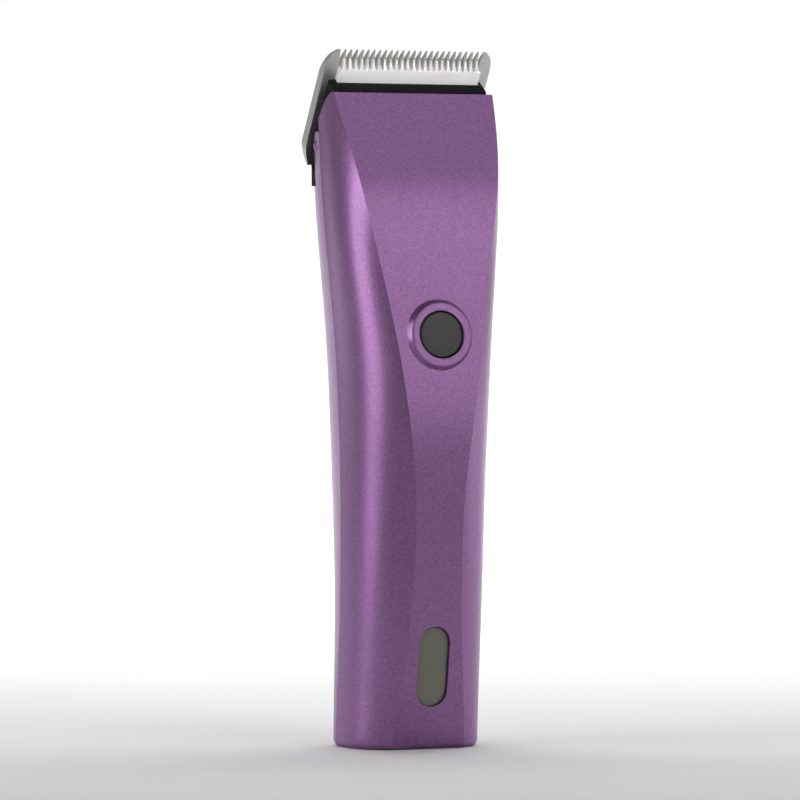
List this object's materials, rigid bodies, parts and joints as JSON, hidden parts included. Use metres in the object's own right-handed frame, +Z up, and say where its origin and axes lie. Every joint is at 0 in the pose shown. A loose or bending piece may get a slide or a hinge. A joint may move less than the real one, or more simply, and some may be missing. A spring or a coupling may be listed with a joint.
{
  "type": "electric pet clipper",
  "caption": "Cordless pet clipper: two-part metallic housing, round push button, pill-shaped battery window, detachable steel blade set with sliding cutter and length lever.",
  "frame": {"origin": "centre of the flat bottom face, on the mid plane", "axes": "+Z up along the handle towards the blade, front panel and button face -Y, +X to the right seen from the front"},
  "size_m": [0.0496, 0.0425, 0.1784],
  "materials": {
    "purple_shell": "satin metallic paint on plastic",
    "black_plastic": "fine matte",
    "button_grey": "satin",
    "window_olive": "smooth satin",
    "blade_steel": "fine ground",
    "cutter_steel": "polished ground",
    "screw_steel": "turned",
    "spring_steel": "sheet",
    "motor_steel": "zinc plated",
    "copper_winding": "enamelled wire and laminations",
    "magnet_grey": "sintered",
    "board_green": "solder mask",
    "chip_black": "moulded",
    "led_white": "clear",
    "cell_blue": "shrink sleeve",
    "nickel_tab": "strip",
    "rubber_black": "matte",
    "chassis_grey": "moulded",
    "lead_red": "insulation",
    "white_nylon": "moulded"
  },
  "bodies": {
    "handle": {"front_shell": "purple_shell", "rear_shell": "purple_shell", "battery_window": "window_olive", "circuit_board": "board_green", "tact_switch": "chip_black", "board_chips": "chip_black", "charge_leds": "led_white", "board_screws": "screw_steel", "battery_cell": "cell_blue", "battery_tabs": "nickel_tab", "battery_leads": "lead_red", "motor_leads": "lead_red", "chassis": "chassis_grey", "charge_jack": "black_plastic", "jack_pin": "nickel_tab", "motor_can": "motor_steel", "motor_endcap": "white_nylon", "motor_magnets": "magnet_grey", "motor_terminals": "nickel_tab", "motor_mount": "chassis_grey", "motor_damper": "rubber_black", "motor_screws": "screw_steel", "head_frame": "black_plastic", "head_screws": "screw_steel", "hinge_pin": "screw_steel", "latch_spring": "spring_steel", "housing_screws": "screw_steel"},
    "button": {"power_button": "button_grey"},
    "rotor": {"motor_shaft": "motor_steel", "motor_rotor": "copper_winding", "eccentric": "white_nylon", "drive_pin": "motor_steel", "drive_roller": "white_nylon"},
    "blade_set": {"blade_base": "black_plastic", "comb_screws": "screw_steel", "tension_spring": "spring_steel"},
    "comb": {"comb_plate": "blade_steel"},
    "cutter": {"cutter_blade": "cutter_steel", "drive_fork": "white_nylon", "cutter_rivets": "screw_steel"},
    "lever": {"taper_lever": "black_plastic"}
  },
  "joints": [
    {"name": "power_button", "type": "slide", "parent": "handle", "child": "button", "axis": [0, 0.9928, -0.1201], "range_m": [0, 0.0006], "stiffness_N_per_m": 800, "springref_m": -0.0015},
    {"name": "motor_spin", "type": "hinge", "parent": "handle", "child": "rotor", "pos_m": [0, 0.001, 0.13], "axis": [0, 0, 1], "continuous": true},
    {"name": "blade_set_tilt", "type": "hinge", "parent": "handle", "child": "blade_set", "pos_m": [0, 0.0096, 0.1486], "axis": [-1, 0, 0], "range_deg": [0, 30]},
    {"name": "cutter_stroke", "type": "slide", "parent": "blade_set", "child": "cutter", "axis": [1, 0, 0], "range_m": [-0.0011, 0.0011]},
    {"name": "lever", "type": "hinge", "parent": "blade_set", "child": "lever", "pos_m": [0.0235, 0.00619, 0.16169], "axis": [-1, 0, 0], "range_deg": [0, 44.1]},
    {"name": "comb", "type": "slide", "parent": "blade_set", "child": "comb", "axis": [0, 0.5519, -0.8339], "range_m": [0, 0.00157]}
  ],
  "couplings": [
    {"joint": "lever", "follows": "comb", "rad_per_m": 489.14}
  ]
}
